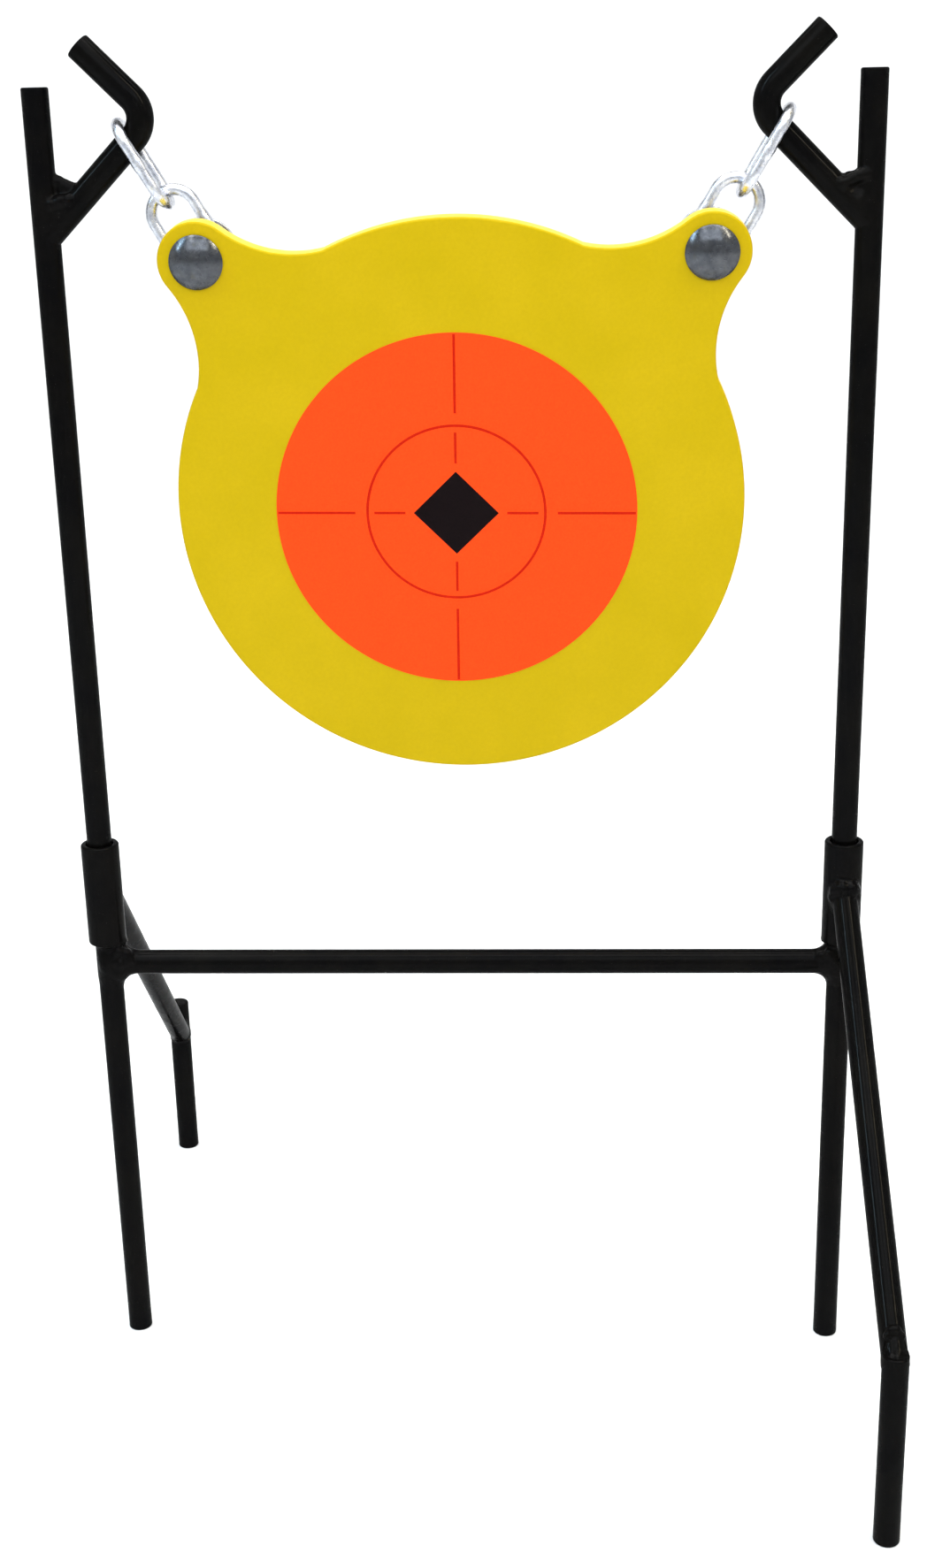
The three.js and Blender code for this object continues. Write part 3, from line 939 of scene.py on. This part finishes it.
def bolt_rings(place):
    """Sections down a carriage bolt: domed head, square neck, plain shank, thread and chamfered point"""
    head, dome, rim, shank = BOLT["head"], BOLT["dome"], BOLT["rim"], BOLT["shank"]
    sphere = (head**2 + dome**2) / (2 * dome)
    widest = math.asin(head / sphere)
    sides = 64
    rings = []
    for step in range(1, 19):
        turn = widest * step / 18
        height = sphere * (1 - math.cos(turn)) - dome - rim
        rings.append(ring(place, sphere * math.sin(turn), height, sides))
    for inset, height in ((0, -rim / 2), (0.1, -0.15), (0.4, 0)):
        rings.append(ring(place, head - inset, height, sides))
    neck = polygon(4, BOLT_NECK["width"] / 2, BOLT_NECK["width"] / math.sqrt(2) - BOLT_NECK["corner"])
    for height in (0, BOLT_NECK["length"] - 0.6):
        rings.append(ring(place, neck, height, sides))
    for radius, height in ((shank, BOLT_NECK["length"]), (shank, THREAD["start"])):
        rings.append(ring(place, radius, height, sides))
    rings += thread_rings(place, sides)
    return rings


def thread_rings(place, sides):
    """A right-hand thread from its start to the bolt's point"""
    end, shank, pitch = BOLT["length"], BOLT["shank"], THREAD["pitch"]
    count = round((end - THREAD["start"]) / pitch * THREAD["rows"])
    rings = []
    for row in range(1, count + 1):
        height = THREAD["start"] + (end - THREAD["start"]) * row / count
        fade = min(1, (height - THREAD["start"]) / pitch)
        chamfer = shank - max(0, height - (end - 1.2))

        def radius(angle):
            wave = abs(2 * ((height / pitch - angle / (2 * math.pi)) % 1) - 1)
            cut = THREAD["depth"] * fade * min(1, max(0, 1.25 * wave - 0.1))
            return min(shank - cut, chamfer)

        rings.append(ring(place, radius, height, sides))
    return rings


def washer_profile():
    outer, bore, thickness, edge = (WASHER[key] for key in ("outer", "bore", "thickness", "edge"))
    outside = [(outer - inset, rise) for inset, rise in quarter_round(edge)]
    outside = [(outer - 2 * edge, 0)] + outside
    profile = outside + [(radius, thickness - rise) for radius, rise in reversed(outside)]
    return profile + [(bore + edge, thickness), (bore, thickness - edge), (bore, edge), (bore + edge, 0)]


def nut_rings(place):
    """Up the outside of a hexagon whose corners are turned off at both ends, and back down the bore"""
    height, bore, bevel = NUT["height"], NUT["bore"], NUT["bevel"]
    apothem = NUT["across_flats"] / 2
    steps = [bevel * step / 6 for step in range(7)]
    rises = steps + [height - step for step in reversed(steps)]
    sides = 96
    rings = []
    for rise in rises:
        cone = apothem - 0.15 + 1.75 * min(rise, height - rise)
        rings.append(ring(place, polygon(6, apothem, cone), rise, sides))
    for radius, rise in ((bore + 0.5, height), (bore, height - 0.5), (bore, 0.5), (bore + 0.5, 0)):
        rings.append(ring(place, radius, rise, sides))
    return rings


def add_fasteners(end):
    """The bolt through one ear, and the washer and nut behind the lower link"""
    x = -EAR if end.side == "left" else EAR
    roll = Matrix.Rotation(NUT_ROLL[end.side], 4, "Z")
    nut_setback = WASHER["setback"] + WASHER["thickness"] + GAP

    def at(y):
        return GONG @ Matrix.Translation((x, y, EAR)) @ Matrix.Rotation(-math.pi / 2, 4, "X")

    seat = -PLATE["thickness"] / 2 - HEAD_LIFT
    pieces = (
        ("carriage_bolt", skin("bolt", bolt_rings(at(seat)))),
        ("washer", turned("washer", at(WASHER["setback"]), washer_profile(), 64, looped=True)),
        ("nut", skin("nut", nut_rings(at(nut_setback) @ roll), looped=True)),
    )
    for kind, mesh in pieces:
        node = f"{end.side}_{kind}"
        mesh.name = f"{node}_zinc"
        material = BOLT_ZINC if kind == "carriage_bolt" else NUT_ZINC
        add_piece(f"{node}_zinc", mesh, "gong", [material], [node])


# ---------------------------------------------------------------- the object


def build():
    add_crossbar()
    for end in ENDS:
        add_standing_bar(f"{end.side}_leg", "base")
        add_standing_bar(f"{end.depth}_stake", "base")
        add_standing_bar(f"{end.side}_upright", f"{end.side}_post")
        add_socket(end)
        add_brace(end)
        add_hook_arm(end)
        add_chain(end)
        add_fasteners(end)
        add_crossbar_weld(end)
        add_brace_welds(end)
        add_hook_weld(end)
    add_plate()
    add_sticker()


build()


# ---------------------------------------------------------------- floor, light and camera


def add_floor():
    """A round pale floor that curves up into a plain wall, the same on every side"""
    flat, bend, top, sides, steps = 3.2, 1.2, 4.0, 96, 16
    profile = [(flat, 0.0)]
    for step in range(1, steps + 1):
        turn = math.pi / 2 * step / steps
        profile.append((flat + bend * math.sin(turn), bend * (1 - math.cos(turn))))
    profile.append((flat + bend, top))
    points = [point for reach, z in profile for point in ring(Matrix(), reach, z, sides)]
    faces = [tuple(range(sides))]
    for row in range(len(profile) - 1):
        for side in range(sides):
            here, after = row * sides + side, row * sides + (side + 1) % sides
            faces.append((here, here + sides, after + sides, after))
    mesh = bpy.data.meshes.new("floor")
    mesh.from_pydata(points, [], faces)
    mesh.materials.append(pale_floor())
    mesh.shade_smooth()
    mesh.polygons[0].use_smooth = False
    floor = bpy.data.objects.new("floor", mesh)
    bpy.context.scene.collection.objects.link(floor)


def add_light(name, place, target, size, power, colour=(1, 1, 1)):
    """A soft rectangular light, with place, target and size in metres"""
    light = bpy.data.lights.new(name, "AREA")
    light.shape = "RECTANGLE"
    light.size, light.size_y = size
    light.energy = power
    light.color = colour
    lamp = bpy.data.objects.new(name, light)
    lamp.location = place
    lamp.rotation_euler = (Vector(target) - Vector(place)).to_track_quat("-Z", "Y").to_euler()
    bpy.context.scene.collection.objects.link(lamp)


WALL_WASHES = (("back", 0, 1, 86), ("front", 0, -1, 18), ("left", -1, 0, 40), ("right", 1, 0, 40))


def add_lights():
    """Soft light from above and in front, two narrow strips for the bars' streaks, and lit walls"""
    target = (0, 0, 0.35)
    add_light("overhead", (0, -0.3, 2.2), (0, 0.1, 0.2), (1.6, 0.6), 17)
    add_light("front_high", (0, -1.7, 2.1), target, (2.8, 1.4), 34, (0.88, 0.94, 1.0))
    add_light("left_strip", (-1.9, -0.9, 2.0), target, (0.16, 1.3), 22, (0.58, 0.83, 1.0))
    add_light("right_strip", (1.6, -0.9, 2.1), target, (0.15, 1.3), 17, (1.0, 0.88, 0.64))
    for name, x, y, power in WALL_WASHES:
        add_light(f"{name}_wall_wash", (x, y, 3.2), (3.6 * x, 3.6 * y, 0.4), (4.0, 1.2), power)
    world = bpy.data.worlds.new("studio")
    world.use_nodes = True
    background = world.node_tree.nodes["Background"]
    background.inputs["Color"].default_value = (1, 1, 1, 1)
    background.inputs["Strength"].default_value = 0.11
    bpy.context.scene.world = world


# fitted to the photograph's view: millimetres, radians and a lens for a 36 mm high frame
CAMERA_PLACE = Vector((47.5, -874.9, 579.0))
CAMERA_YAW, CAMERA_PITCH, CAMERA_ROLL = -0.0569, 0.3333, -0.0243
CAMERA_LENS = 47.16


def add_camera():
    """A camera that looks along +Y when its angles are nought. Its pitch is downward"""
    yaw, pitch, roll = CAMERA_YAW, CAMERA_PITCH, CAMERA_ROLL
    ahead = Vector((math.sin(yaw) * math.cos(pitch), math.cos(yaw) * math.cos(pitch), -math.sin(pitch)))
    level = Vector((math.cos(yaw), -math.sin(yaw), 0))
    upward = level.cross(ahead)
    right = level * math.cos(roll) + upward * math.sin(roll)
    top = upward * math.cos(roll) - level * math.sin(roll)
    camera = bpy.data.cameras.new("camera")
    camera.sensor_fit = "VERTICAL"
    camera.sensor_height = 36
    camera.lens = CAMERA_LENS
    holder = bpy.data.objects.new("camera", camera)
    turn = Matrix((right, top, -ahead)).transposed().to_4x4()
    holder.matrix_world = Matrix.Translation(CAMERA_PLACE * MM) @ turn
    bpy.context.scene.collection.objects.link(holder)
    bpy.context.scene.camera = holder


add_floor()
add_lights()
add_camera()
bpy.context.scene.view_settings.view_transform = "Standard"
